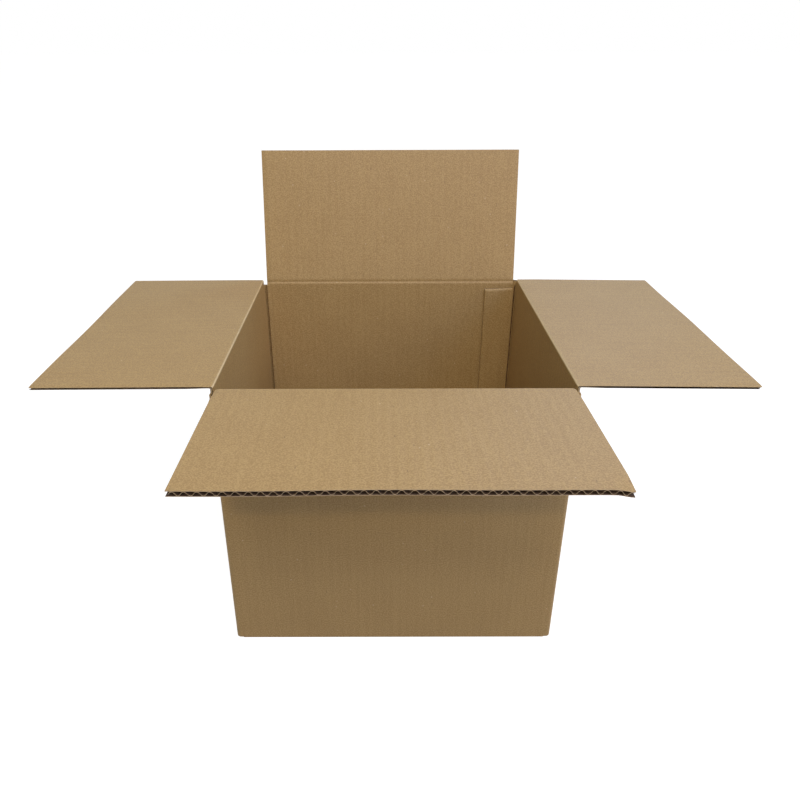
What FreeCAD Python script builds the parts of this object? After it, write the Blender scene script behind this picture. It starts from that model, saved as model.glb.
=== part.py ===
"""An open corrugated cardboard box, with four hinged top flaps.

The box is the usual slotted carton: one sheet of single-wall board, folded to four walls, glued at
a tab inside the back wall, and closed at the bottom by two layers of flaps under a strip of tape.
X runs left to right, +Y away from the viewer and Z up. The origin is on the floor, under the
middle of the box. Sizes are in millimetres and angles in degrees.
"""
import FreeCAD, Part
import os
import Sketcher

doc = FreeCAD.newDocument("OpenBox")

# The driving dimensions, one to a cell. A flap's lift is its angle above level where it stands open.
SIZES = {
    "inner_length": 280,      # inside, left to right
    "inner_width": 280,       # inside, front to back
    "crease_height": 254,     # floor to the ridge of the top creases
    "board": 4,               # C flute board, liner face to liner face
    "flap_length": 138.4,     # crease line to cut edge
    "major_inset": 2.3,       # end of the front and back creases, in from the inner face
    "minor_inset": 3.9,       # the same for the left and right creases
    "slot_depth": 7.7,        # foot of a corner slot below the ridge
    "corner_radius": 4,       # outside of the upright corners
    "fold_radius": 1.6,       # outside of the bottom folds
    "layer_gap": 0.3,         # between the two layers of bottom flaps
    "closed_gap": 2,          # between a closed inner top flap and the outer flaps over it
    "seam_gap": 3,            # between two flaps that meet in the middle of the bottom
    "crease_gap": 0.3,        # between a crease bead and its flap's root
    "hang_gap": 0.2,          # crease line to the wall's outer face
    "tab_width": 34,
    "tab_board": 3.4,         # the glue tab is crushed thinner than the board
    "tab_drop": 11,           # end of the tab short of the crease
    "tab_taper": 1.5,
    "tape_thick": 0.1,
    "tape_width": 50,
    "tape_turnup": 55,        # length of tape up each side wall
    "flute_pitch": 7.5,
    "flute_crest": 1.3,       # flat of a flute where it is glued to its liner
    "liner": 0.4,
    "medium": 0.35,           # thickness of the fluted paper
    "flute_rim": 0.8,         # least board left beside the last flute
    "front_lift": 1.3,
    "back_lift": 77.5,
    "left_lift": -0.3,
    "right_lift": -0.6,
}
sheet = doc.addObject("Spreadsheet::Sheet", "Sizes")
for row, (alias, value) in enumerate(SIZES.items(), start=1):
    sheet.set(f"A{row}", alias)
    sheet.set(f"B{row}", str(value))
    sheet.setAlias(f"B{row}", alias)
doc.recompute()

# Levels and clearances that several pieces share, as expressions over the sheet.
HALF_X = "(Sizes.inner_length / 2)"
HALF_Y = "(Sizes.inner_width / 2)"
CREASE_LINE = "(Sizes.crease_height - Sizes.board)"
SLOT_FOOT = "(Sizes.crease_height - Sizes.slot_depth)"
LAYER = "(Sizes.board + Sizes.layer_gap)"
LOW_OUTER = "Sizes.tape_thick"
LOW_INNER = f"({LOW_OUTER} + {LAYER})"
UPRIGHT = "vector(0; 0; 1)"

# One entry per wall. turn carries a wall's own frame (x along it, y outward) to its place, sink is
# how far its crease line lies under the ridge level, and low is the level of its bottom flap.
# The left and right flaps fold in first, under the others, so their crease lines are lower.
MAJOR = {"half": f"({HALF_X} - Sizes.major_inset)", "inner": HALF_Y, "sink": "0", "low": LOW_OUTER}
MINOR = {"half": f"({HALF_Y} - Sizes.minor_inset)", "inner": HALF_X, "low": LOW_INNER,
         "sink": "((Sizes.board + Sizes.closed_gap) / 2)"}
WALLS = {
    "front": dict(MAJOR, turn=180, lift="Sizes.front_lift"),
    "back": dict(MAJOR, turn=0, lift="Sizes.back_lift"),
    "left": dict(MINOR, turn=90, lift="Sizes.left_lift"),
    "right": dict(MINOR, turn=-90, lift="Sizes.right_lift"),
}


def crease_radius(wall):
    """Distance from a wall's crease line to the ridge that its bead rounds."""
    return f"({wall['sink']} + Sizes.board + Sizes.hang_gap)"


def crease_axis(wall):
    """Distance of a wall's crease line from the middle, and its height."""
    return f"({wall['inner']} + Sizes.board + Sizes.hang_gap)", f"({CREASE_LINE} - {wall['sink']})"


def placed(wall, x, y, z, roll=""):
    """Placement expression for a point given in a wall's own frame."""
    turn = f"rotation({UPRIGHT}; {wall['turn']})"
    return f"placement({turn} * vector({x}; {y}; {z}); {turn}{roll})"


def origin_plane(body, role):
    """One of a body's own origin planes."""
    return next(item for item in body.Origin.OriginFeatures if item.Role == role)


def polygon_sketch(body, name, role, outlines, level="0"):
    """Closed outlines on an origin plane, each corner bound to two expressions, raised by level."""
    sketch = body.newObject("Sketcher::SketchObject", name)
    sketch.AttachmentSupport = [(origin_plane(body, role), "")]
    sketch.MapMode = "FlatFace"
    sketch.setExpression("AttachmentOffset.Base.z", level)
    first = 0
    for outline in outlines:
        count = len(outline)
        for index in range(count):
            start, end = rough_point(index, count), rough_point(index + 1, count)
            sketch.addGeometry(Part.LineSegment(start, end), False)
        for index in range(count):
            line, following = first + index, first + (index + 1) % count
            sketch.addConstraint(Sketcher.Constraint("Coincident", line, 2, following, 1))
        for index, (across, up) in enumerate(outline):
            line = first + index
            for kind, value in (("DistanceX", across), ("DistanceY", up)):
                label = f"{kind}_{line}"
                number = sketch.addConstraint(Sketcher.Constraint(kind, -1, 1, line, 1, 1.0))
                sketch.renameConstraint(number, label)
                sketch.setExpression(f"Constraints.{label}", value)
        first += count
    return sketch


def rough_point(index, count):
    """A corner of a regular polygon, where a sketch line starts before its constraints place it."""
    turn = FreeCAD.Rotation(FreeCAD.Vector(0, 0, 1), 360 * index / count)
    return turn.multVec(FreeCAD.Vector(10, 0, 0))


def rectangle(half_x, half_y):
    """The four corners of a rectangle about the origin."""
    return [(f"-{half_x}", f"-{half_y}"), (half_x, f"-{half_y}"),
            (half_x, half_y), (f"-{half_x}", half_y)]


def primitive(body, kind, name, placement, **sizes):
    """An additive or subtractive primitive in a body, with every size bound to an expression."""
    feature = body.newObject(f"PartDesign::{kind}", name)
    for size, expression in sizes.items():
        feature.setExpression(size, expression)
    feature.setExpression("Placement", placement)
    return feature


def edges_where(shape, test):
    """Names of the shape's edges whose two ends both pass a test."""
    return [f"Edge{number}" for number, edge in enumerate(shape.Edges, start=1)
            if len(edge.Vertexes) == 2 and all(test(vertex.Point) for vertex in edge.Vertexes)]


def near(value, target):
    """True where two lengths agree to a hundredth of a millimetre."""
    return abs(value - target) < 0.01


def fillet(body, base, name, edges, radius):
    """Round the named edges of a feature."""
    feature = body.newObject("PartDesign::Fillet", name)
    feature.Base = (base, edges)
    feature.setExpression("Radius", radius)
    doc.recompute()
    return feature


def build_box_body():
    """The folded sheet: walls, glue tab and the two layers of bottom flaps, as one solid."""
    body = doc.addObject("PartDesign::Body", "box_body")
    outer_x, outer_y = f"({HALF_X} + Sizes.board)", f"({HALF_Y} + Sizes.board)"
    low = f"({LOW_OUTER} + Sizes.fold_radius)"

    # Four walls between the feet of the corner slots, then the hollow inside them.
    outline = polygon_sketch(body, "wall_outline", "XY_Plane", [rectangle(outer_x, outer_y)], low)
    walls = body.newObject("PartDesign::Pad", "walls")
    walls.Profile = outline
    walls.setExpression("Length", f"{SLOT_FOOT} - {low}")
    doc.recompute()
    box = walls.Shape.BoundBox
    tall = [name for name in edges_where(walls.Shape, lambda p: True)
            if upright_folded(walls.Shape.getElement(name), box)]
    fillet(body, walls, "folded_corners", tall, "Sizes.corner_radius")
    hollow = polygon_sketch(body, "hollow_outline", "XY_Plane", [rectangle(HALF_X, HALF_Y)], low)
    inside = body.newObject("PartDesign::Pocket", "inside")
    inside.Profile = hollow
    inside.Type = "ThroughAll"
    inside.Midplane = True
    doc.recompute()

    # The side walls stop higher than the front and back, where their own bottom flaps fold in.
    for name in ("left", "right"):
        wall = WALLS[name]
        corner = placed(wall, f"-{wall['half']}", wall["inner"], LOW_OUTER)
        primitive(body, "SubtractiveBox", f"{name}_foot", corner, Length=f"2 * {wall['half']}",
                  Width="2 * Sizes.board", Height=f"{LAYER} + Sizes.fold_radius")

    for name, wall in WALLS.items():
        add_top_edge(body, name, wall)
        add_bottom_flap(body, name, wall)
    add_glue_tab(body)
    doc.recompute()

    box = body.Shape.BoundBox
    folds = edges_where(body.Shape, lambda p: bottom_fold(p, box))
    fillet(body, body.Tip, "bottom_folds", folds, "Sizes.fold_radius")
    return body


def upright_folded(edge, box):
    """True for an upright corner edge, other than the back right one, where two panels meet."""
    start, end = (vertex.Point for vertex in edge.Vertexes)
    upright = near(start.x, end.x) and near(start.y, end.y)
    glued = near(start.x, box.XMax) and near(start.y, box.YMax)
    return upright and not glued


def bottom_fold(point, box):
    """True for the ends of the four outer edges where a wall turns in to its bottom flap."""
    low_outer = sheet.tape_thick
    low_inner = low_outer + sheet.board + sheet.layer_gap
    outer_x = sheet.inner_length / 2 + sheet.board
    outer_y = sheet.inner_width / 2 + sheet.board
    front_or_back = near(point.z, low_outer) and near(abs(point.y), outer_y)
    side = near(point.z, low_inner) and near(abs(point.x), outer_x)
    return front_or_back or side


def add_top_edge(body, name, wall):
    """A wall's strip between two slots, and the bead that rounds its crease."""
    out, height = crease_axis(wall)
    radius = crease_radius(wall)
    inner_reach = "(Sizes.board + Sizes.hang_gap)"
    rise = f"sqrt({radius}^2 - {inner_reach}^2)"
    primitive(body, "AdditiveBox", f"{name}_strip",
              placed(wall, f"-{wall['half']}", wall["inner"], f"({SLOT_FOOT} - Sizes.board)"),
              Length=f"2 * {wall['half']}", Width="Sizes.board",
              Height=f"{height} + {rise} - {SLOT_FOOT} + Sizes.board")
    # The bead's section starts under the open flap and ends on the wall's inner face.
    start = f"({wall['lift']} * 1 deg + asin({wall['sink']} / {radius}))"
    end = f"(180 deg - acos({inner_reach} / {radius}))"
    along_crease = f" * rotation(vector(1; 1; 1); 120) * rotation({UPRIGHT}; {start})"
    primitive(body, "AdditiveCylinder", f"{name}_bead",
              placed(wall, f"-{wall['half']}", out, height, along_crease),
              Radius=radius, Height=f"2 * {wall['half']}", Angle=f"{end} - {start}")


def add_bottom_flap(body, name, wall):
    """A flap folded in under the box, up to the seam in the middle."""
    seam = "(Sizes.seam_gap / 2)"
    primitive(body, "AdditiveBox", f"{name}_bottom_flap",
              placed(wall, f"-{wall['half']}", seam, wall["low"]),
              Length=f"2 * {wall['half']}", Width=f"{wall['inner']} + Sizes.board - {seam}",
              Height="Sizes.board")
    # The upright part of the fold, from the flap to the foot of the wall.
    primitive(body, "AdditiveBox", f"{name}_bottom_fold",
              placed(wall, f"-{wall['half']}", wall["inner"], wall["low"]),
              Length=f"2 * {wall['half']}", Width="Sizes.board",
              Height="Sizes.board + Sizes.fold_radius")


def add_glue_tab(body):
    """The end of the right wall, bent in behind the back wall and glued to it."""
    height = "(Sizes.crease_height - 2 * Sizes.tab_drop)"
    corner = f"vector({HALF_X}; {HALF_Y} - Sizes.tab_board; Sizes.tab_drop)"
    primitive(body, "AdditiveWedge", "glue_tab", f"placement({corner}; rotation({UPRIGHT}; 90))",
              Xmin="0", Xmax="Sizes.tab_board", X2min="0", X2max="Sizes.tab_board",
              Ymin="0", Ymax="Sizes.tab_width",
              Zmin="0", Zmax=height, Z2min="Sizes.tab_taper", Z2max=f"{height} - Sizes.tab_taper")


def build_flap(name, wall):
    """A top flap: two liners and the fluted paper between them, open at the crease and the edge."""
    body = doc.addObject("PartDesign::Body", f"{name}_flap")
    half, sink = wall["half"], wall["sink"]
    root = f"sqrt(({crease_radius(wall)} + Sizes.crease_gap)^2 - {sink}^2)"
    outline = [(f"-{half}", root), (half, root),
               (half, "Sizes.flap_length"), (f"-{half}", "Sizes.flap_length")]
    slab = body.newObject("PartDesign::Pad", f"{name}_slab")
    slab.Profile = polygon_sketch(body, f"{name}_outline", "XY_Plane", [outline], sink)
    slab.setExpression("Length", "Sizes.board")
    doc.recompute()

    # One flute is a hollow over the fluted paper and a hollow under it, half a pitch along.
    narrow = "(Sizes.flute_crest / 2)"
    wide = f"(Sizes.flute_pitch / 2 - {narrow} - 0.6 * Sizes.medium)"
    flutes = f"floor((2 * {half} - 2 * Sizes.flute_rim - 2 * {wide}) / Sizes.flute_pitch + 0.5)"
    first = f"(-({flutes} * Sizes.flute_pitch) / 2 + Sizes.flute_pitch / 4)"
    second = f"({first} + Sizes.flute_pitch / 2)"
    floor = f"({sink} + Sizes.liner)"
    ceiling = f"({sink} + Sizes.board - Sizes.liner)"
    over = [(f"{first} - {narrow}", f"{floor} + Sizes.medium"),
            (f"{first} + {narrow}", f"{floor} + Sizes.medium"),
            (f"{first} + {wide}", ceiling), (f"{first} - {wide}", ceiling)]
    under = [(f"{second} - {wide}", floor), (f"{second} + {wide}", floor),
             (f"{second} + {narrow}", f"{ceiling} - Sizes.medium"),
             (f"{second} - {narrow}", f"{ceiling} - Sizes.medium")]
    flute = body.newObject("PartDesign::Pocket", f"{name}_flute")
    flute.Profile = polygon_sketch(body, f"{name}_flute_section", "XZ_Plane", [over, under])
    flute.Type = "ThroughAll"
    flute.Midplane = True
    doc.recompute()
    row = body.newObject("PartDesign::LinearPattern", f"{name}_flutes")
    row.Originals = [flute]
    row.Direction = (origin_plane(body, "X_Axis"), [""])
    row.setExpression("Length", f"({flutes} - 1) * Sizes.flute_pitch")
    row.setExpression("Occurrences", flutes)
    body.Tip = row

    out, height = crease_axis(wall)
    tilt = f" * rotation(vector(1; 0; 0); {wall['lift']})"
    body.setExpression("Placement", placed(wall, "0", out, height, tilt))
    return body


def build_tape():
    """Packing tape along the bottom seam and up both side walls, as three flat runs."""
    outer = f"({HALF_X} + Sizes.board)"
    span = f"(2 * ({outer} + Sizes.tape_thick))"
    front = "(-Sizes.tape_width / 2)"
    runs = {
        "tape_under": (f"-{span} / 2", "0", span, "Sizes.tape_thick"),
        "tape_left": (f"-{span} / 2", "Sizes.tape_thick", "Sizes.tape_thick", "Sizes.tape_turnup"),
        "tape_right": (outer, "Sizes.tape_thick", "Sizes.tape_thick", "Sizes.tape_turnup"),
    }
    pieces = []
    for name, (x, z, length, height) in runs.items():
        piece = doc.addObject("Part::Box", name)
        piece.setExpression("Length", length)
        piece.setExpression("Width", "Sizes.tape_width")
        piece.setExpression("Height", height)
        piece.setExpression("Placement", f"placement(vector({x}; {front}; {z}); rotation({UPRIGHT}; 0))")
        pieces.append(piece)
    tape = doc.addObject("Part::Compound", "bottom_tape")
    tape.Links = pieces
    return tape


nodes = [build_box_body()]
nodes += [build_flap(name, wall) for name, wall in WALLS.items()]
nodes.append(build_tape())
doc.recompute()

for item in doc.Objects:
    if {"Invalid", "Error"} & set(item.State):
        raise RuntimeError(f"{item.Label} failed: {item.State}")
for node in nodes:
    if node.Shape.isNull() or not node.Shape.isValid():
        raise RuntimeError(f"{node.Label} has no valid shape")

os.makedirs("parts", exist_ok=True)
for node in nodes:
    node.Shape.exportStep(f"parts/{node.Label}.step")
    box = node.Shape.BoundBox
    print(f"{node.Label}: {len(node.Shape.Solids)} solids, {node.Shape.Volume:.0f} mm3, "
          f"x {box.XMin:.2f} {box.XMax:.2f}, y {box.YMin:.2f} {box.YMax:.2f}, "
          f"z {box.ZMin:.2f} {box.ZMax:.2f}")
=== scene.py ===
import math
import random

import bmesh
import bpy
import numpy as np
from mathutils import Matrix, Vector


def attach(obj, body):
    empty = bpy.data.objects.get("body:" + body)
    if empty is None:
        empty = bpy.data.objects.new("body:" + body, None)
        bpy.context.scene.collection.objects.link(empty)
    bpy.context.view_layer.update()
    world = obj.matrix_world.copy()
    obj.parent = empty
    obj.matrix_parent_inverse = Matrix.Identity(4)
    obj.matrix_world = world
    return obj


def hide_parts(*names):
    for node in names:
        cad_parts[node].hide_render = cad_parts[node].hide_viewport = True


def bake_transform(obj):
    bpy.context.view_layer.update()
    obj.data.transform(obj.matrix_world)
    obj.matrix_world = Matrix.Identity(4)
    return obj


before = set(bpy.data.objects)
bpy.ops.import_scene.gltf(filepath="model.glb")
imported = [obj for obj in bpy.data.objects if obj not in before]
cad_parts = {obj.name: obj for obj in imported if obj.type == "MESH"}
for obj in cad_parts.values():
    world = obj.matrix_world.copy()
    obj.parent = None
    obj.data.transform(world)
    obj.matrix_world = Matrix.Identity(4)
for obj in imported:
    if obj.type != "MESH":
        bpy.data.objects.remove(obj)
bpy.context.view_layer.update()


# The walls: one blank of C flute board, which is two kraft liners glued to a fluted paper. It is
# folded at three upright scores, and its ends are glued at the back right. All three papers are here
# at their real thickness, in mm, with the flutes upright.
BOARD = 4.0
LINER = 0.4
MEDIUM = 0.35
FLUTE_PITCH = 7.5
INNER = 140.0  # from the middle of the box to a wall's inner face
MAJOR_HALF = 137.7  # half the width of the front and back flaps
MINOR_HALF = 136.1  # half the width of the left and right flaps
SLOT_FOOT = 246.3  # the level where the slots between the top flaps end
JOINT_FOOT = 250.5  # the same at the glued corner
BACK_END = 143.4  # the free end of the back wall
TAB_ROOT = 136.6  # where the right wall turns in to the glue tab
CORNER_RADIUS = 4.0
HOLLOW = BOARD - 2 * LINER  # between the liners
# Feet of the outer liner, the inner one and the fluting: on the front and back walls, where the outer
# bottom flaps fold in, and on the side walls, where the inner ones do.
OUTER_FEET, INNER_FEET, MEDIUM_FEET = (1.7, 6.0), (4.1, 8.4), (4.2, 6.0)
# On the flat blank the three papers are set far apart in depth, so that their fibres differ.
OUTER_DEPTH, MEDIUM_DEPTH, INNER_DEPTH = 0, 20, 40


def linear(hex_colour):
    """A written sRGB colour as the linear values that the shaders take."""
    parts = [int(hex_colour[i:i + 2], 16) / 255 for i in (1, 3, 5)]
    return [c / 12.92 if c <= 0.04045 else ((c + 0.055) / 1.055) ** 2.4 for c in parts] + [1.0]


def add_node(tree, kind, inputs=(), **settings):
    """A node of that kind with its settings, and each input either set or linked to an output."""
    node = tree.nodes.new(kind)
    for name, value in settings.items():
        setattr(node, name, value)
    for socket, value in dict(inputs).items():
        if isinstance(value, bpy.types.NodeSocket):
            tree.links.new(value, node.inputs[socket])
        else:
            node.inputs[socket].default_value = value
    return node


def new_material(name):
    """An empty node material, its node tree and its output node."""
    material = bpy.data.materials.new(name)
    material.use_nodes = True
    material.node_tree.nodes.clear()
    return material, material.node_tree, add_node(material.node_tree, "ShaderNodeOutputMaterial")


# Kraft linerboard: the brown paper faces of the board, pressed smooth on the machine, so it is
# matt with a faint sheen, mottled by its fibres, and ribbed very slightly by the flutes under it.
LINER_TAN = "#B3945D"
LINER_SHADE = "#9B7B48"
LINER_WORN_AND_HIGHLIT = "#D8C190"
SPECK_PALE = "#D2BC97"
FIBRE_DARK = "#755C3B"
kraft, tree, output = new_material("kraft_linerboard")
flat = add_node(tree, "ShaderNodeAttribute", attribute_name="flat_mm").outputs["Vector"]
split = add_node(tree, "ShaderNodeSeparateXYZ", {"Vector": flat})
# Fibre clumps are a tenth of a millimetre, drawn at about one so that they show.
clump = add_node(tree, "ShaderNodeTexNoise", {"Vector": flat, "Scale": 1 / 1.15, "Detail": 4.0,
                                              "Roughness": 0.72})
# The pulp is a little cloudy, over about 4 cm.
cloud = add_node(tree, "ShaderNodeTexNoise", {"Vector": flat, "Scale": 1 / 38, "Detail": 3.0,
                                              "Roughness": 0.5})
# Streaks along the flutes, 2 to 4 mm wide and many times longer.
stretched = add_node(tree, "ShaderNodeVectorMath", {0: flat, 1: (1 / 3.4, 1 / 60, 1 / 30)},
                     operation="MULTIPLY").outputs["Vector"]
streak = add_node(tree, "ShaderNodeTexNoise", {"Vector": stretched, "Scale": 1.0, "Detail": 2.0})
ribs = add_node(tree, "ShaderNodeMath", {0: split.outputs["X"], 1: 2 * math.pi / FLUTE_PITCH},
                operation="MULTIPLY")
ribs = add_node(tree, "ShaderNodeMath", {0: ribs.outputs["Value"]}, operation="SINE")
shade = add_node(tree, "ShaderNodeMath", {0: clump.outputs["Fac"], 1: 2.1,
                                          2: -0.795}, operation="MULTIPLY_ADD")
shade = add_node(tree, "ShaderNodeMath", {0: cloud.outputs["Fac"], 1: 0.16,
                                          2: shade.outputs["Value"]}, operation="MULTIPLY_ADD")
shade = add_node(tree, "ShaderNodeMath", {0: streak.outputs["Fac"], 1: 0.13,
                                          2: shade.outputs["Value"]}, operation="MULTIPLY_ADD")
# Faint light and dark colour stripes in step with the flutes' ribs: painted shade of the ribbing.
shade = add_node(tree, "ShaderNodeMath", {0: ribs.outputs["Value"], 1: 0.013,
                                          2: shade.outputs["Value"]}, operation="MULTIPLY_ADD")
shade = add_node(tree, "ShaderNodeMapRange", {"Value": shade.outputs["Value"], "From Min": 0.27,
                                              "From Max": 0.53})
paper = add_node(tree, "ShaderNodeMix", {0: shade.outputs["Result"], 6: linear(LINER_SHADE),
                                         7: linear(LINER_TAN)}, data_type="RGBA")
# Pale specks of wood about 1 mm across, one in a few square centimetres.
cells = add_node(tree, "ShaderNodeTexVoronoi", {"Vector": flat, "Scale": 1 / 6.5})
near_seed = add_node(tree, "ShaderNodeMapRange", {"Value": cells.outputs["Distance"],
                                                  "From Min": 0.11, "From Max": 0.05})
picked = add_node(tree, "ShaderNodeSeparateColor", {"Color": cells.outputs["Color"]})
rare = add_node(tree, "ShaderNodeMath", {0: picked.outputs["Red"], 1: 0.86},
                operation="GREATER_THAN")
speck = add_node(tree, "ShaderNodeMath", {0: near_seed.outputs["Result"],
                                          1: rare.outputs["Value"]}, operation="MULTIPLY")
speck = add_node(tree, "ShaderNodeMath", {0: speck.outputs["Value"], 1: 0.75},
                 operation="MULTIPLY")
specked = add_node(tree, "ShaderNodeMix", {0: speck.outputs["Value"],
                                           6: paper.outputs[2],
                                           7: linear(SPECK_PALE)}, data_type="RGBA")
# Dark fibres, a tenth of a millimetre thick and a few long, drawn about 1 mm wide so that they show.
slanted = add_node(tree, "ShaderNodeMapping", {"Vector": flat, "Rotation": (0, 0, 0.5),
                                               "Scale": (1 / 3.2, 1 / 13, 1 / 9)})
fibre_cells = add_node(tree, "ShaderNodeTexVoronoi", {"Vector": slanted.outputs["Vector"],
                                                      "Scale": 1.0})
near_fibre = add_node(tree, "ShaderNodeMapRange", {"Value": fibre_cells.outputs["Distance"],
                                                   "From Min": 0.15, "From Max": 0.07})
fibre_pick = add_node(tree, "ShaderNodeSeparateColor", {"Color": fibre_cells.outputs["Color"]})
fibre_rare = add_node(tree, "ShaderNodeMath", {0: fibre_pick.outputs["Green"], 1: 0.93},
                      operation="GREATER_THAN")
fibre = add_node(tree, "ShaderNodeMath", {0: near_fibre.outputs["Result"],
                                          1: fibre_rare.outputs["Value"]}, operation="MULTIPLY")
fibre = add_node(tree, "ShaderNodeMath", {0: fibre.outputs["Value"], 1: 0.6},
                 operation="MULTIPLY")
fibred = add_node(tree, "ShaderNodeMix", {0: fibre.outputs["Value"],
                                          6: specked.outputs[2],
                                          7: linear(FIBRE_DARK)}, data_type="RGBA")
# Paper stretched over a fold is paler, and this pale line is also a painted highlight on the crease's
# ridge.
wear = add_node(tree, "ShaderNodeAttribute", attribute_name="wear")
rubbed_and_highlit = add_node(tree, "ShaderNodeMix", {0: wear.outputs["Fac"],
                                          6: fibred.outputs[2],
                                          7: linear(LINER_WORN_AND_HIGHLIT)}, data_type="RGBA")
relief = add_node(tree, "ShaderNodeMath", {0: ribs.outputs["Value"], 1: 0.26,
                                           2: clump.outputs["Fac"]}, operation="MULTIPLY_ADD")
bump = add_node(tree, "ShaderNodeBump", {"Height": relief.outputs["Value"], "Strength": 0.35,
                                         "Distance": 0.00035})
rough = add_node(tree, "ShaderNodeMapRange", {"Value": clump.outputs["Fac"], "From Min": 0.3,
                                              "From Max": 0.7, "To Min": 0.50, "To Max": 0.64})
shader = add_node(tree, "ShaderNodeBsdfPrincipled", {"Base Color": rubbed_and_highlit.outputs[2],
                                                     "Roughness": rough.outputs["Result"],
                                                     "Normal": bump.outputs["Normal"], "IOR": 1.5})
tree.links.new(shader.outputs["BSDF"], output.inputs["Surface"])

# Fluting medium: the recycled brown paper that is corrugated between the liners. It is coarser and
# darker than the liners, and quite matt; its browns are darker still, as painted shade of the hollow
# flutes.
MEDIUM_BROWN_SHADED = "#563F28"
MEDIUM_DARK_SHADED = "#3F2D1B"
fluting_and_shade, tree, output = new_material("fluting_medium_and_shade")
flat = add_node(tree, "ShaderNodeAttribute", attribute_name="flat_mm").outputs["Vector"]
pulp = add_node(tree, "ShaderNodeTexNoise", {"Vector": flat, "Scale": 1 / 1.8, "Detail": 4.0})
brown = add_node(tree, "ShaderNodeMix", {0: pulp.outputs["Fac"], 6: linear(MEDIUM_DARK_SHADED),
                                         7: linear(MEDIUM_BROWN_SHADED)}, data_type="RGBA")
bump = add_node(tree, "ShaderNodeBump", {"Height": pulp.outputs["Fac"], "Strength": 0.4,
                                         "Distance": 0.0003})
shader = add_node(tree, "ShaderNodeBsdfPrincipled", {"Base Color": brown.outputs[2],
                                                     "Roughness": 0.85, "IOR": 1.5,
                                                     "Normal": bump.outputs["Normal"]})
tree.links.new(shader.outputs["BSDF"], output.inputs["Surface"])

# Cut paper: the edge that a slotting knife leaves on a liner or on the medium. The torn fibres
# stand up, so it is paler and rougher than the pressed face.
EDGE_PALE = "#CBB18A"
EDGE_DULL = "#A98E65"
cut_edge, tree, output = new_material("cut_paper_edge")
flat = add_node(tree, "ShaderNodeAttribute", attribute_name="flat_mm").outputs["Vector"]
fuzz = add_node(tree, "ShaderNodeTexNoise", {"Vector": flat, "Scale": 1 / 1.2, "Detail": 4.0,
                                             "Roughness": 0.7})
pale = add_node(tree, "ShaderNodeMix", {0: fuzz.outputs["Fac"], 6: linear(EDGE_DULL),
                                        7: linear(EDGE_PALE)}, data_type="RGBA")
bump = add_node(tree, "ShaderNodeBump", {"Height": fuzz.outputs["Fac"], "Strength": 0.5,
                                         "Distance": 0.0003})
shader = add_node(tree, "ShaderNodeBsdfPrincipled", {"Base Color": pale.outputs[2],
                                                     "Roughness": 0.9, "IOR": 1.5,
                                                     "Normal": bump.outputs["Normal"]})
tree.links.new(shader.outputs["BSDF"], output.inputs["Surface"])

# The liners' sides that face the hollow between them take the fluting paper's dark finish, as painted
# shade of the hollows.
LINER_FACE, FLUTING_AND_SHADE_FACE, CUT_FACE = 0, 1, 2
BOARD_MATERIALS = (kraft, fluting_and_shade, cut_edge)
SHARP_EDGE = 38  # degrees


class Layers:
    """Papers of a piece, each a closed sheet with thickness, gathered into one mesh."""

    def __init__(self):
        self.points, self.flats, self.wears, self.faces, self.kinds = [], [], [], [], []

    def add(self, face, back, flats, kinds, wears=None):
        """A paper between two grids of points. flats are its places on the flat blank, in mm, and
        kinds the finish of its two sides."""
        rows, columns = face.shape[:2]
        first, count = len(self.points), rows * columns
        for grid in (face, back):
            self.points.extend(grid.reshape(-1, 3).tolist())
            self.flats.extend(flats.reshape(-1, 3).tolist())
            self.wears.extend((np.zeros(count) if wears is None else wears.reshape(-1)).tolist())

        def quad(a, b, c, d, kind):
            self.faces.append((first + a, first + b, first + c, first + d))
            self.kinds.append(kind)

        for i in range(rows - 1):
            for j in range(columns - 1):
                a, b, c, d = (i * columns + j, i * columns + j + 1,
                              (i + 1) * columns + j + 1, (i + 1) * columns + j)
                quad(a, b, c, d, kinds[0])
                quad(count + d, count + c, count + b, count + a, kinds[1])
        for j in range(columns - 1):
            low, high = j, (rows - 1) * columns + j
            quad(low, count + low, count + low + 1, low + 1, CUT_FACE)
            quad(high + 1, count + high + 1, count + high, high, CUT_FACE)
        for i in range(rows - 1):
            low, high = i * columns, i * columns + columns - 1
            quad(low + columns, count + low + columns, count + low, low, CUT_FACE)
            quad(high, count + high, count + high + columns, high + columns, CUT_FACE)

    def piece(self, name, materials=BOARD_MATERIALS):
        """The papers as one object, in metres, with smooth faces and crisp cut edges."""
        mesh = bpy.data.meshes.new(name)
        mesh.from_pydata((np.array(self.points) * 0.001).tolist(), [], self.faces)
        for material in materials:
            mesh.materials.append(material)
        mesh.polygons.foreach_set("material_index", self.kinds)
        mesh.polygons.foreach_set("use_smooth", [True] * len(self.faces))
        flat_mm = mesh.attributes.new("flat_mm", "FLOAT_VECTOR", "POINT")
        flat_mm.data.foreach_set("vector", np.array(self.flats, np.float32).ravel())
        worn_and_highlit = mesh.attributes.new("wear", "FLOAT", "POINT")
        worn_and_highlit.data.foreach_set("value", np.array(self.wears, np.float32))
        shell = bmesh.new()
        shell.from_mesh(mesh)
        bmesh.ops.recalc_face_normals(shell, faces=shell.faces)
        shell.to_mesh(mesh)
        shell.free()
        mesh.set_sharp_from_angle(angle=math.radians(SHARP_EDGE))
        item = bpy.data.objects.new(name, mesh)
        bpy.context.scene.collection.objects.link(item)
        return item


def eased(x):
    """From 0 to 1, flat at both ends."""
    x = np.clip(x, 0, 1)
    return x * x * (3 - 2 * x)


def arc(centre, radius, start, end, steps=6):
    """Points on an arc, both ends among them."""
    return [(centre[0] + radius * math.cos(math.radians(t)),
             centre[1] + radius * math.sin(math.radians(t)))
            for t in np.linspace(start, end, steps + 1)]


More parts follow.
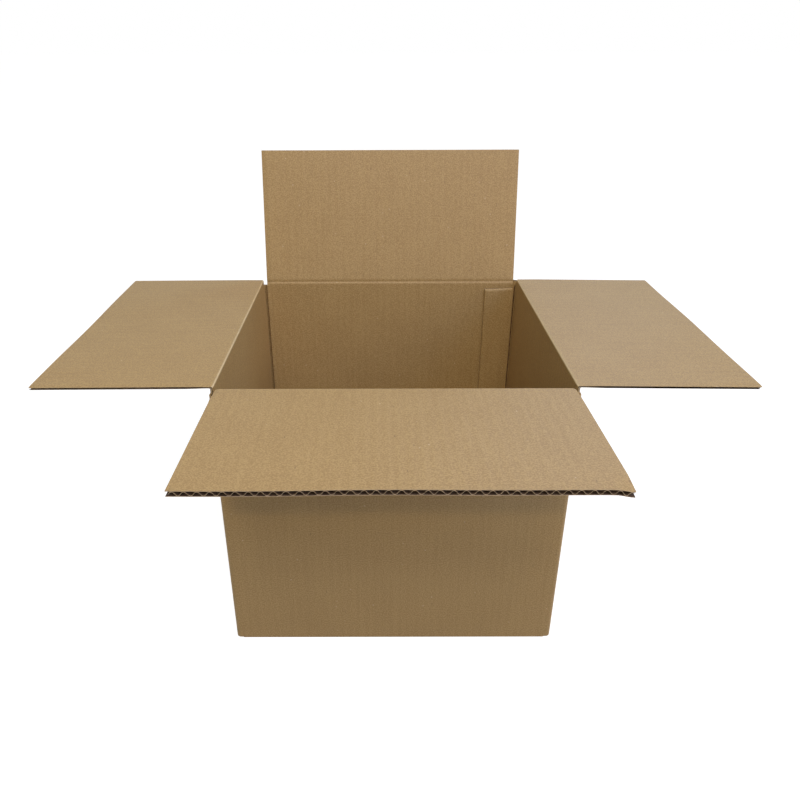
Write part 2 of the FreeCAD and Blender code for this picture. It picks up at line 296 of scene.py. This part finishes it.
def scored_corner(face, radius, turns):
    """An upright fold in plan: round outside. Inside, for no radius, the crushed score leaves a
    narrow slit with a slight swelling on each side."""
    c = face - radius
    if radius:
        path = [(face, 1.2 - c), (face, 0.6 - c)] + arc((c, -c), radius, 0, -90)
        path += [(c - 0.6, -face), (c - 1.2, -face)]
    else:
        half = [(0, 4.2), (-0.35, 3.0), (-0.2, 2.1), (0.6, 1.4), (1.1, 0.4)]
        path = [(face + x, y - face) for x, y in half] + [(face + 1.1, -face - 1.1)]
        path += [(face - y, -face - x) for x, y in half[::-1]]
    for _ in range(turns):
        path = [(y, -x) for x, y in path]
    return path


def ring_path(inward, radius):
    """A surface of the board in plan, that far in from its outer face, from the tab's root round
    by the right, front and left walls to the end of the back wall."""
    face, run = INNER + BOARD - inward, np.linspace(132, -132, 23)  # a column each 12 mm
    foot = [MINOR_HALF + 0.01, MINOR_HALF]
    path = [(face, TAB_ROOT)] + [(face, y) for y in foot] + [(face, y) for y in run]
    path += [(face, -y) for y in foot[::-1]] + scored_corner(face, radius, 0)
    path += [(x, -face) for x in run] + scored_corner(face, radius, 1)
    path += [(-face, -y) for y in foot] + [(-face, -y) for y in run]
    path += [(-face, y) for y in foot[::-1]] + scored_corner(face, radius, 2)
    path += [(-x, face) for x in run]
    path += [(x, face) for x in (MAJOR_HALF, MAJOR_HALF + 0.01, BACK_END)]
    return np.array(path)


def run_length(path):
    """Distance along a path at each of its points."""
    return np.concatenate([[0], np.cumsum(np.linalg.norm(np.diff(path, axis=0), axis=1))])


def standing(path, lows, highs, shares):
    """A path in plan raised into a grid between two levels at each of its points."""
    share = np.array(shares, float)[:, None]
    lows, highs = (np.broadcast_to(np.asarray(v, float), len(path))[None, :] for v in (lows, highs))
    plan = np.broadcast_to(path, (len(share), len(path), 2))
    return np.concatenate([plan, (lows * (1 - share) + highs * share)[:, :, None]], axis=2)


def flute_rise(angle):
    """The rise of the fluted paper, from -1 to 1: a wave with its crests flattened on the liners."""
    rise = np.sin(angle)
    return np.sign(rise) * np.abs(rise) ** 0.75


def blank_places(along, grid, depth):
    """Where a standing grid lies on the flat blank: along it, up it, and through the board."""
    places = np.empty(grid.shape)
    places[:, :, 0], places[:, :, 1], places[:, :, 2] = along, grid[:, :, 2], depth
    return places


def wall_levels(path, foot, side_foot, drop=0.0):
    """Foot and top of the ring at each point: higher feet on the side walls, where their bottom
    flaps fold in, and a higher top at the glued corner, where the slot is shallow."""
    on_side = (np.abs(path[:, 1]) <= MINOR_HALF + 0.005) & (np.abs(path[:, 0]) > INNER - 1)
    joint = (path[:, 0] > MAJOR_HALF + 0.005) & (path[:, 1] > INNER - 1)
    return np.where(on_side, side_foot, foot), np.where(joint, JOINT_FOOT, SLOT_FOOT) - drop


outer_face, outer_back = ring_path(0, CORNER_RADIUS), ring_path(LINER, CORNER_RADIUS - LINER)
inner_face, inner_back = ring_path(BOARD, 0), ring_path(BOARD - LINER, 0)
blank_run = run_length(outer_face)
walls = Layers()
# The slotting knife crushes the top of each corner, where the outer liner leans in: how far down
# this goes, and how far over the hollow the liner leans.
CRUSH_DEPTH, CRUSH_LEAN = 3.5, 0.6
at_slot = np.abs(outer_face).min(axis=1) > MAJOR_HALF + 0.2
lean = (inner_back - outer_back) * CRUSH_LEAN * at_slot[:, None]
wall_shares = [*np.linspace(0, 0.98, 9), 0.986, 0.991, 0.996, 1]
for face, back, depth, feet, kinds in (
        (outer_back, outer_face, OUTER_DEPTH, OUTER_FEET, (FLUTING_AND_SHADE_FACE, LINER_FACE)),
        (inner_face, inner_back, INNER_DEPTH, INNER_FEET, (LINER_FACE, FLUTING_AND_SHADE_FACE))):
    lows, highs = wall_levels(outer_face, *feet)
    grids = [standing(path, lows, highs, wall_shares) for path in (face, back)]
    if depth == OUTER_DEPTH:
        for grid in grids:
            grid[:, :, :2] += lean * eased(1 - (grid[-1:, :, 2:] - grid[:, :, 2:]) / CRUSH_DEPTH)
    walls.add(*grids, blank_places(blank_run, grids[0], depth), kinds)

# The fluted paper stands between them, a wave of the flute pitch, crushed at the scores and low
# enough at the corners to stay under the leaning liner.
WAVE_STEP = FLUTE_PITCH / 8
MEDIUM_SHORT, CORNER_SHORT = 0.4, 3.6  # how far under the liners' tops it ends, and more at corners
middle, through = (outer_back + inner_back) / 2, outer_back - inner_back
middle_run = run_length(middle)
stations = np.arange(0.5, middle_run[-1] - 0.5, WAVE_STEP)
centre_line, across = (np.stack([np.interp(stations, middle_run, v[:, k]) for k in (0, 1)], 1)
                       for v in (middle, through))
reach = np.linalg.norm(across, axis=1, keepdims=True)
wave = flute_rise(2 * math.pi * stations / FLUTE_PITCH)[:, None]
wave = wave * (np.minimum(reach, HOLLOW) - MEDIUM) / 2
drop = MEDIUM_SHORT + CORNER_SHORT * (np.abs(centre_line).min(axis=1) > MAJOR_HALF)
grids = [standing(centre_line + across / reach * (wave + step * MEDIUM / 2),
                  *wall_levels(centre_line, *MEDIUM_FEET, drop), (0, 1)) for step in (-1, 1)]
walls.add(*grids, blank_places(stations, grids[0], MEDIUM_DEPTH), (FLUTING_AND_SHADE_FACE, FLUTING_AND_SHADE_FACE))

# The glue tab goes on from the right wall, folded in behind the back wall and crushed thinner. Its
# rows and columns stand closer towards its pressed edges.
TAB_END, TAB_LOW, TAB_HIGH, TAB_TAPER = 106.0, 11.0, 243.0, 1.5
TAB_BOARD, TAB_DEPTH, TAB_LINER = 3.4, 3.1, 0.36
TAB_ROWS, ROOT_COLUMNS = 41, 7
PRESSED, PRESSED_WIDTH = 1.3, 1.2
tab_run = [(x, TAB_ROOT) for x in TAB_END + 31 * np.linspace(1, 0, 15) ** 2]
tab_face = np.array([(140, TAB_ROOT), (140.6, 137.0), (140.7, 137.6), (140.2, 138.0), (139.3, 137.8),
                     (138.5, 137.1), (137.7, 136.5)] + tab_run)
tab_back = np.array(arc((140.9, TAB_ROOT), TAB_DEPTH, 0, 90)
                    + [(x, TAB_ROOT + TAB_DEPTH) for x, y in tab_run])


def tab_liner(face, back, depth, kinds):
    """One liner of the tab, its ends tapered towards the free edge, and its root as tall as the wall.
    The knife has pressed the inner one down round the free edge and both ends."""
    taper = np.clip((INNER - tab_face[:, 0]) / (INNER - TAB_END), 0, 1) * TAB_TAPER
    root = np.arange(len(tab_face)) < ROOT_COLUMNS
    lows = np.where(root, OUTER_FEET[0], TAB_LOW + taper)
    highs = np.where(root, SLOT_FOOT, TAB_HIGH - taper)
    grids = [standing(path, lows, highs, np.linspace(0, 1, TAB_ROWS)) for path in (face, back)]
    if depth == INNER_DEPTH:
        share = (np.sin(np.linspace(-math.pi / 2, math.pi / 2, TAB_ROWS))[:, None] + 1) / 2
        for grid in grids:
            grid[:, :, 2] = grid[:1, :, 2] + (grid[-1:, :, 2] - grid[:1, :, 2]) * share
            from_ends = np.minimum(grid[:, :, 2] - grid[0, :, 2], grid[-1, :, 2] - grid[:, :, 2])
            rim = np.minimum(from_ends, np.maximum(tab_face[:, 0] - TAB_END, 0))
            press = PRESSED * np.clip(1 - rim / PRESSED_WIDTH, 0, 1) ** 2
            grid[:, ROOT_COLUMNS:, 1] += press[:, ROOT_COLUMNS:]
    walls.add(*grids, blank_places(-run_length(tab_back), grids[0], depth), kinds)


toward = tab_back - tab_face
toward /= np.linalg.norm(toward, axis=1, keepdims=True)
tab_liner(tab_face, tab_face + toward * TAB_LINER, INNER_DEPTH, (LINER_FACE, FLUTING_AND_SHADE_FACE))
tab_liner(tab_back - toward * TAB_LINER, tab_back, OUTER_DEPTH, (FLUTING_AND_SHADE_FACE, LINER_FACE))
stations = np.arange(TAB_END + 3, 137, WAVE_STEP)
wave = np.sin(2 * math.pi * stations / FLUTE_PITCH) * (TAB_BOARD - 2 * LINER - MEDIUM - 0.4) / 2
line = np.stack([stations, TAB_ROOT + TAB_DEPTH / 2 + wave], 1)
grids = [standing(line + (0, step * MEDIUM / 2), TAB_LOW + 5, TAB_HIGH - 5, (0, 1))
         for step in (1, -1)]
walls.add(*grids, blank_places(stations, grids[0], MEDIUM_DEPTH), (FLUTING_AND_SHADE_FACE, FLUTING_AND_SHADE_FACE))
carton_walls = walls.piece("carton_walls")
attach(carton_walls, "box")
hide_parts("box_body")


# The bottom flaps: two layers of the same board, folded in under the walls to the middle seam.
# The left and right ones lie inside, the front and back ones outside, with their folds rounded.
WALL_TURN = {"front": 180, "back": 0, "left": 90, "right": -90}
FOLD_RADIUS = 1.6
SEAM = 1.5  # half the gap at the middle
FLUTE_MARGIN = 0.9  # from a flap's side edge to the first of its fluting
BOTTOM_LEVEL = {"front": 0.1, "back": 0.1, "left": 4.4, "right": 4.4}


def turned(points, name):
    """Points from a wall's own frame, x along it and y outward, to the box."""
    turn = math.radians(WALL_TURN[name])
    c, s = math.cos(turn), math.sin(turn)
    x, y, z = points[..., 0], points[..., 1], points[..., 2]
    return np.stack([c * x - s * y, s * x + c * y, z], -1)


def swept(profile, columns):
    """A profile of (outward, up) points repeated across the columns of a wall."""
    profile = np.asarray(profile, float)
    if profile.ndim == 2:
        profile = np.broadcast_to(profile[:, None], (len(profile), len(columns), 2))
    across = np.broadcast_to(columns, profile.shape[:2])
    return np.concatenate([across[:, :, None], profile], axis=2)


def blank_middle(name):
    """How far along the flat blank the middle of a wall is."""
    point = turned(np.array([0.0, INNER + BOARD, 0.0]), name)[:2]
    return blank_run[np.argmin(np.linalg.norm(outer_face - point, axis=1))]


def flap_places(name, columns, run, depth):
    """Where a swept grid lies on the flat blank."""
    places = np.empty((len(run), len(columns), 3))
    places[:, :, 0] = blank_middle(name) + np.asarray(columns)[None, :]
    places[:, :, 1], places[:, :, 2] = np.asarray(run)[:, None], depth
    return places


def flute_wave(name, columns, leans=0.0):
    """The rise of the fluted paper across a wall's columns, from -1 to 1."""
    return flute_rise(2 * math.pi * (blank_middle(name) + columns) / FLUTE_PITCH + leans)


bottom = Layers()
for name, low in BOTTOM_LEVEL.items():
    half = MAJOR_HALF if name in ("front", "back") else MINOR_HALF
    columns = np.linspace(-half, half, 26)
    outer = INNER + BOARD
    reach = np.linspace(SEAM, outer - FOLD_RADIUS, 15)
    bend = arc((outer - FOLD_RADIUS, low + FOLD_RADIUS), FOLD_RADIUS, -90, 0, 8)
    inside = arc((outer - FOLD_RADIUS, low + FOLD_RADIUS), FOLD_RADIUS - LINER, -90, 0, 8)
    under = [(y, low) for y in reach[:-1]] + bend
    under_back = [(y, low + LINER) for y in reach[:-1]] + inside
    top = np.linspace(SEAM, INNER + 0.2, 15)
    for face, back, depth, kinds in (
            (under_back, under, OUTER_DEPTH, (FLUTING_AND_SHADE_FACE, LINER_FACE)),
            ([(y, low + BOARD) for y in top], [(y, low + BOARD - LINER) for y in top],
             INNER_DEPTH, (LINER_FACE, FLUTING_AND_SHADE_FACE))):
        grids = [turned(swept(p, columns), name) for p in (face, back)]
        run = run_length(np.asarray(face)) - INNER
        bottom.add(*grids, flap_places(name, columns, run, depth), kinds)
    columns = np.arange(FLUTE_MARGIN - half, half - FLUTE_MARGIN, WAVE_STEP)
    run = np.linspace(SEAM, INNER, 6)
    rise = flute_wave(name, columns) * (HOLLOW - MEDIUM) / 2
    grids = []
    for step in (1, -1):
        profile = np.empty((len(run), len(columns), 2))
        profile[:, :, 0] = run[:, None]
        profile[:, :, 1] = low + BOARD / 2 + rise[None, :] + step * MEDIUM / 2
        grids.append(turned(swept(profile, columns), name))
    bottom.add(*grids, flap_places(name, columns, run - INNER, MEDIUM_DEPTH),
               (FLUTING_AND_SHADE_FACE, FLUTING_AND_SHADE_FACE))
bottom_flaps = bottom.piece("bottom_flaps")
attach(bottom_flaps, "box")
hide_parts("box_body")


# The top flaps: each goes on from its wall over a crushed crease, in one run of paper on each side,
# and ends in a knife cut across the flutes. Its side edges are pinched by the slotting knife.
FLAP_LENGTH = 138.3  # from the crease line to the cut edge
HANG_GAP = 0.2  # from the crease line to the wall's outer face
CREASE_HEIGHT = 250.0
RIDGE_RADIUS, OUTER_RADIUS = 1.3, 0.8
PINCH_START = 1.5  # the length over which the pinch sets in above the slot's foot
CRUSH_REACH = 22  # how far past the ridge the harder crush beside the slot lasts
RIDGE_ROW, FLUTE_ROW = 9, 16  # rows at the middle of the bend, and where whole flutes begin
FLUTES = 44  # more than the widest flap has
# sink lowers the crease line, lift is the flap's angle above level, and pinch is how wide the pinched
# side strips are and how hard they are pinched beyond the crush.
TOP_FLAPS = {
    "front": {"half": MAJOR_HALF, "sink": 0.0, "lift": 1.3, "pinch": (3.0, 0.0)},
    "back": {"half": MAJOR_HALF, "sink": 0.0, "lift": 77.5, "pinch": (4.0, 1.0)},
    "left": {"half": MINOR_HALF, "sink": 3.0, "lift": -0.3, "pinch": (5.0, 1.0)},
    "right": {"half": MINOR_HALF, "sink": 3.0, "lift": -0.6, "pinch": (5.0, 1.0)},
}
# Where each crease's bend starts and ends, about its crease line, outward and up.
BENDS = {"front": ((-4.2, 0.0), (0.255, 5.446)), "back": ((-2.0, -2.0), (-2.0, 4.7)),
         "left": ((-5.863, -1.782), (2.453, 7.128)), "right": ((-5.863, -1.782), (2.453, 7.128))}


def rounded_corner(corner, before, after, radius, steps=6):
    """An arc that rounds a corner between two unit directions, from one run to the other."""
    corner, before, after = (np.array(v, float) for v in (corner, before, after))
    turn = math.acos(np.clip(np.dot(before, after), -1, 1))
    start = corner - before * radius * math.tan(turn / 2)
    side = after - before * np.dot(before, after)
    side /= np.linalg.norm(side)
    return [tuple(start + side * radius * (1 - math.cos(t)) + before * radius * math.sin(t))
            for t in np.linspace(0, turn, steps + 1)]


def crease_profile(sink, lift, level, wall_line, radius):
    """One face of the board from the slot's foot over the crease to the cut edge, about the crease
    line: outward and up. level is the face's height over the crease line on the level flap."""
    angle = math.radians(lift)
    along = np.array([math.cos(angle), math.sin(angle)])
    start = np.array([-math.sin(angle), math.cos(angle)]) * level
    corner = start + along * (wall_line - start[0]) / along[0]
    bend = rounded_corner(corner, (0, 1), along, radius)
    foot = SLOT_FOOT - CREASE_HEIGHT + sink
    rise = np.linspace(foot, bend[0][1], 7)[:-1]
    first = np.dot(np.array(bend[-1]) - start, along)
    # Rows stand closer over the first 10 mm past the crease.
    runs = np.concatenate([np.linspace(first, 10.0, 10)[1:], np.linspace(10.0, FLAP_LENGTH, 17)[1:]])
    return np.array([(wall_line, b) for b in rise] + bend + [tuple(start + along * r) for r in runs])


random.seed(7)
for name, flap in TOP_FLAPS.items():
    half, sink, lift = flap["half"], flap["sink"], flap["lift"]
    crease = np.array([INNER + BOARD + HANG_GAP, CREASE_HEIGHT - sink])
    inner = crease_profile(sink, lift, sink + BOARD, -BOARD - HANG_GAP, RIDGE_RADIUS)
    outer = crease_profile(sink, lift, sink, -HANG_GAP, OUTER_RADIUS)
    run = run_length(inner)
    ridge_run = run[RIDGE_ROW]
    leans = [random.uniform(0, 6) for _ in range(2)]
    flute_leans = [random.uniform(-0.4, 0.4) for _ in range(FLUTES)]
    tilt = math.radians(lift)

    def sheet(columns, level, rows=slice(None)):
        """A surface at a share of the board's thickness, 0 the outer face and 1 the inner one."""
        width, depth = flap["pinch"]
        edge = np.clip((np.abs(columns) - half + width) / width, 0, 1)[None, :] ** 1.6
        onset = eased(run / PINCH_START)
        crush = edge * (onset * (1 - eased((run - ridge_run) / CRUSH_REACH)))[:, None]
        pinch = np.maximum(edge * depth, crush) * onset[:, None]
        groove = 0.0
        if name == "back":
            # The open back flap shows the score as a shallow groove.
            groove = 0.2 * np.exp(-((run - ridge_run - 0.3) / 1.3) ** 2)[:, None]
        # The outer liner rises most, as shares of the board's thickness.
        low = 0.44 * pinch + 0.26 * crush
        high = 1 - 0.12 * pinch - 0.06 * crush - groove
        share = (low + (high - low) * level)[:, :, None]
        profile = outer[:, None] + (inner - outer)[:, None] * share + crease
        # A board is never quite flat: a slow lift and sag of half a millimetre, none at the crease.
        away = eased((run - ridge_run - 6) / (FLAP_LENGTH - 6))[:, None]
        bow = away * (0.35 * np.sin(columns / 55 + leans[0]) + 0.2 * np.sin(columns / 23 + leans[1])
                      + (0.6 if name == "back" else 0.0))
        if name == "front":
            # The front flap's right outer corner is bruised and bent down a little.
            corner = eased((12 - half - columns) / 12) * eased((run - run[-1] + 16) / 16)[:, None]
            bow = bow - 1.7 * corner
        # The bow is straight up, or straight inward on the standing back flap.
        profile = profile + bow[:, :, None] * np.round([-math.sin(tilt), math.cos(tilt)])
        return turned(swept(profile[rows], columns), name)

    # Levels are shares of the board's thickness: a liner about 0.1, and the fluted paper 0.09.
    board = Layers()
    columns = np.concatenate([np.linspace(-half, 6 - half, 6), np.linspace(10 - half, half - 10, 60),
                              np.linspace(half - 6, half, 6)])
    # A pale line on the ridge of each crease except the back's: paler stretched paper, and partly a
    # painted highlight.
    ridge = 0.85 * np.exp(-((run - ridge_run) / 0.7) ** 2) if name != "back" else 0 * run
    wears = np.repeat(ridge[:, None], len(columns), axis=1)
    places = flap_places(name, columns, SLOT_FOOT + run, INNER_DEPTH)
    board.add(sheet(columns, 1.0), sheet(columns, 0.9), places, (LINER_FACE, FLUTING_AND_SHADE_FACE), wears)
    places = flap_places(name, columns, SLOT_FOOT + run_length(outer), OUTER_DEPTH)
    board.add(sheet(columns, 0.08), sheet(columns, 0.0), places, (FLUTING_AND_SHADE_FACE, LINER_FACE))
    beyond = slice(FLUTE_ROW, None)
    columns = np.arange(FLUTE_MARGIN - half, half - FLUTE_MARGIN, WAVE_STEP)
    leaning = np.interp(columns / FLUTE_PITCH + FLUTES / 2, range(FLUTES), flute_leans)
    rise = flute_wave(name, columns, leaning)
    grids = [sheet(columns, 0.5 + 0.35 * rise + step * 0.045, beyond) for step in (1, -1)]
    board.add(*grids, flap_places(name, columns, SLOT_FOOT + run[beyond], MEDIUM_DEPTH),
              (FLUTING_AND_SHADE_FACE, FLUTING_AND_SHADE_FACE))
    item = board.piece(f"{name}_flap_board")
    start, end = (turned(np.array([0.0, *(crease + point)]), name) * 0.001 for point in BENDS[name])
    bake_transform(item)
    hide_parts(f"{name}_flap")


# Packing tape: one strip of brown polypropylene film, 50 mm wide, pressed over the bottom seam and
# up both side walls. It is smooth and fairly glossy, rippled along its length where it was pulled
# off the roll, and its glue shows through as a darker mottling.
TAPE_HALF = 25.0
TAPE_TOP = 55.0
TAPE_TURN = 1.7  # radius of its turn under the bottom edge
FILM = 0.07
TOOTH = 0.9
TAPE_BROWN = "#9C713A"
TAPE_DULL = "#8E6532"
tape_film, tree, output = new_material("polypropylene_tape")
flat = add_node(tree, "ShaderNodeAttribute", attribute_name="flat_mm").outputs["Vector"]
pulled = add_node(tree, "ShaderNodeVectorMath", {0: flat, 1: (1 / 40, 1 / 2.5, 1)},
                  operation="MULTIPLY").outputs["Vector"]
ripple = add_node(tree, "ShaderNodeTexNoise", {"Vector": pulled, "Scale": 1.0, "Detail": 2.0})
glue = add_node(tree, "ShaderNodeTexNoise", {"Vector": flat, "Scale": 1 / 6, "Detail": 3.0})
brown = add_node(tree, "ShaderNodeMix", {0: glue.outputs["Fac"], 6: linear(TAPE_DULL),
                                         7: linear(TAPE_BROWN)}, data_type="RGBA")
bump = add_node(tree, "ShaderNodeBump", {"Height": ripple.outputs["Fac"], "Strength": 0.25,
                                         "Distance": 0.0003})
shader = add_node(tree, "ShaderNodeBsdfPrincipled", {"Base Color": brown.outputs[2],
                                                     "Roughness": 0.3, "IOR": 1.49,
                                                     "Normal": bump.outputs["Normal"]})
tree.links.new(shader.outputs["BSDF"], output.inputs["Surface"])

tape = Layers()
side = INNER + BOARD + 0.09  # the film's outer face on a side wall
under = [(side, z) for z in np.linspace(TAPE_TOP, 1.8, 8)]
under += arc((side - TAPE_TURN, TAPE_TURN + 0.01), TAPE_TURN, 0, -90, 6)
line = np.array(under + [(x, 0.01) for x in np.linspace(130, -130, 15)]
                + [(-x, z) for x, z in under[::-1]])
step = np.gradient(line, axis=0)
step /= np.linalg.norm(step, axis=1, keepdims=True)
film = line + FILM * np.stack([step[:, 1], -step[:, 0]], 1)
columns = np.linspace(-TAPE_HALF, TAPE_HALF, 9)
outer_film, inner_film = (swept(p, columns)[:, :, (1, 0, 2)] for p in (line, film))
for grid in (outer_film, inner_film):
    # The roll's toothed cutter leaves both ends in small points.
    for end in (0, -1):
        grid[end, 1::2, 2] -= TOOTH
places = np.empty(outer_film.shape)
places[:, :, 0], places[:, :, 1], places[:, :, 2] = run_length(line)[:, None], columns[None, :], 0
tape.add(outer_film, inner_film, places, (0, 0))
tape.kinds = [0] * len(tape.kinds)  # One finish on its faces and its cut edges.
seam_tape = tape.piece("seam_tape", (tape_film,))
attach(seam_tape, "box")
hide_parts("bottom_tape")


# The stage: a plain pale floor that shows white to the camera and keeps the box's soft shadow,
# and a white surround.
FLOOR_GREY = "#A19F9B"
WHITE = "#FFFFFF"
FLOOR_REACH = 30  # m


def seen_directly(tree):
    """1 for rays from the camera, off a glossy surface or through clear film, and 0 for light."""
    path = add_node(tree, "ShaderNodeLightPath")
    seen = path.outputs["Is Camera Ray"]
    for ray in ("Is Glossy Ray", "Is Transmission Ray"):
        seen = add_node(tree, "ShaderNodeMath", {0: seen, 1: path.outputs[ray]},
                        operation="MAXIMUM").outputs["Value"]
    return seen


floor_paint, tree, output = new_material("pale_floor")
plain = add_node(tree, "ShaderNodeBsdfDiffuse", {"Color": linear(FLOOR_GREY)})
bright = add_node(tree, "ShaderNodeEmission", {"Color": linear(WHITE), "Strength": 0.92})
both = add_node(tree, "ShaderNodeAddShader", {0: plain.outputs["BSDF"],
                                              1: bright.outputs["Emission"]})
mixed = add_node(tree, "ShaderNodeMixShader", {0: seen_directly(tree), 1: plain.outputs["BSDF"],
                                               2: both.outputs["Shader"]})
tree.links.new(mixed.outputs["Shader"], output.inputs["Surface"])

floor_mesh = bpy.data.meshes.new("floor")
floor_mesh.from_pydata([(x * FLOOR_REACH, y * FLOOR_REACH, 0)
                        for x, y in ((-1, -1), (1, -1), (1, 1), (-1, 1))], [], [(0, 1, 2, 3)])
floor_mesh.materials.append(floor_paint)
floor = bpy.data.objects.new("floor", floor_mesh)
bpy.context.scene.collection.objects.link(floor)

world = bpy.data.worlds.new("white_surround")
bpy.context.scene.world = world
world.use_nodes = True
world.node_tree.nodes.clear()
tree = world.node_tree
white = add_node(tree, "ShaderNodeBackground", {"Color": linear(WHITE), "Strength": 1.0})
room = add_node(tree, "ShaderNodeBackground", {"Color": linear(WHITE), "Strength": 0.25})
mixed = add_node(tree, "ShaderNodeMixShader", {0: seen_directly(tree),
                                               1: room.outputs["Background"],
                                               2: white.outputs["Background"]})
add_node(tree, "ShaderNodeOutputWorld", {"Surface": mixed.outputs["Shader"]})


# The lamps: a large soft one overhead, a small warm one far in front whose light the front flap
# cuts off from the wall under it, a bluish one behind like a window, and two broad fills from the
# right. Each has its place and target in m, its size in m, its power in W and its colour.
LAMPS = {
    "overhead_softbox": ((0.0, -0.75, 1.3), (0, -0.1, 0.25), 0.7, 9.2, "#EFEFFF"),
    "front_lamp": ((-0.15, -2.2, 1.82), (0, 0, 0.2), 0.12, 9, "#FFEBB8"),
    "window": ((0.45, 0.75, 1.1), (0.1, -0.2, 0.25), 0.35, 3.4, "#98C6FF"),
    "right_fill": ((2.5, -0.5, 1.35), (0, 0, 0.2), 1.2, 21, "#FCF6FF"),
    "right_front_fill": ((1.3, -1.9, 1.6), (0, 0, 0.2), 1.0, 18, "#A4BCFF"),
}
for name, (place, target, size, power, colour) in LAMPS.items():
    light = bpy.data.lights.new(name, "AREA")
    light.shape = "SQUARE"
    light.size = size
    light.energy = power
    light.color = linear(colour)[:3]
    lamp = bpy.data.objects.new(name, light)
    lamp.location = place
    lamp.rotation_euler = (Vector(target) - Vector(place)).to_track_quat("-Z", "Y").to_euler()
    bpy.context.scene.collection.objects.link(lamp)


# The camera stands close in front of the box, a little above it, and looks down into it. Its place,
# tilt and lens were fitted to the corners of the carton in the photograph.
camera_data = bpy.data.cameras.new("camera")
camera_data.sensor_width = 36
camera_data.lens = 31.885
camera_data.shift_x = 0.0266
camera_data.shift_y = 0.0024
camera = bpy.data.objects.new("camera", camera_data)
camera.location = (-0.01202, -0.62653, 0.49099)
camera.rotation_euler = (math.radians(62.907), math.radians(0.169), 0)
bpy.context.scene.collection.objects.link(camera)
bpy.context.scene.camera = camera
bpy.context.scene.view_settings.view_transform = "Standard"
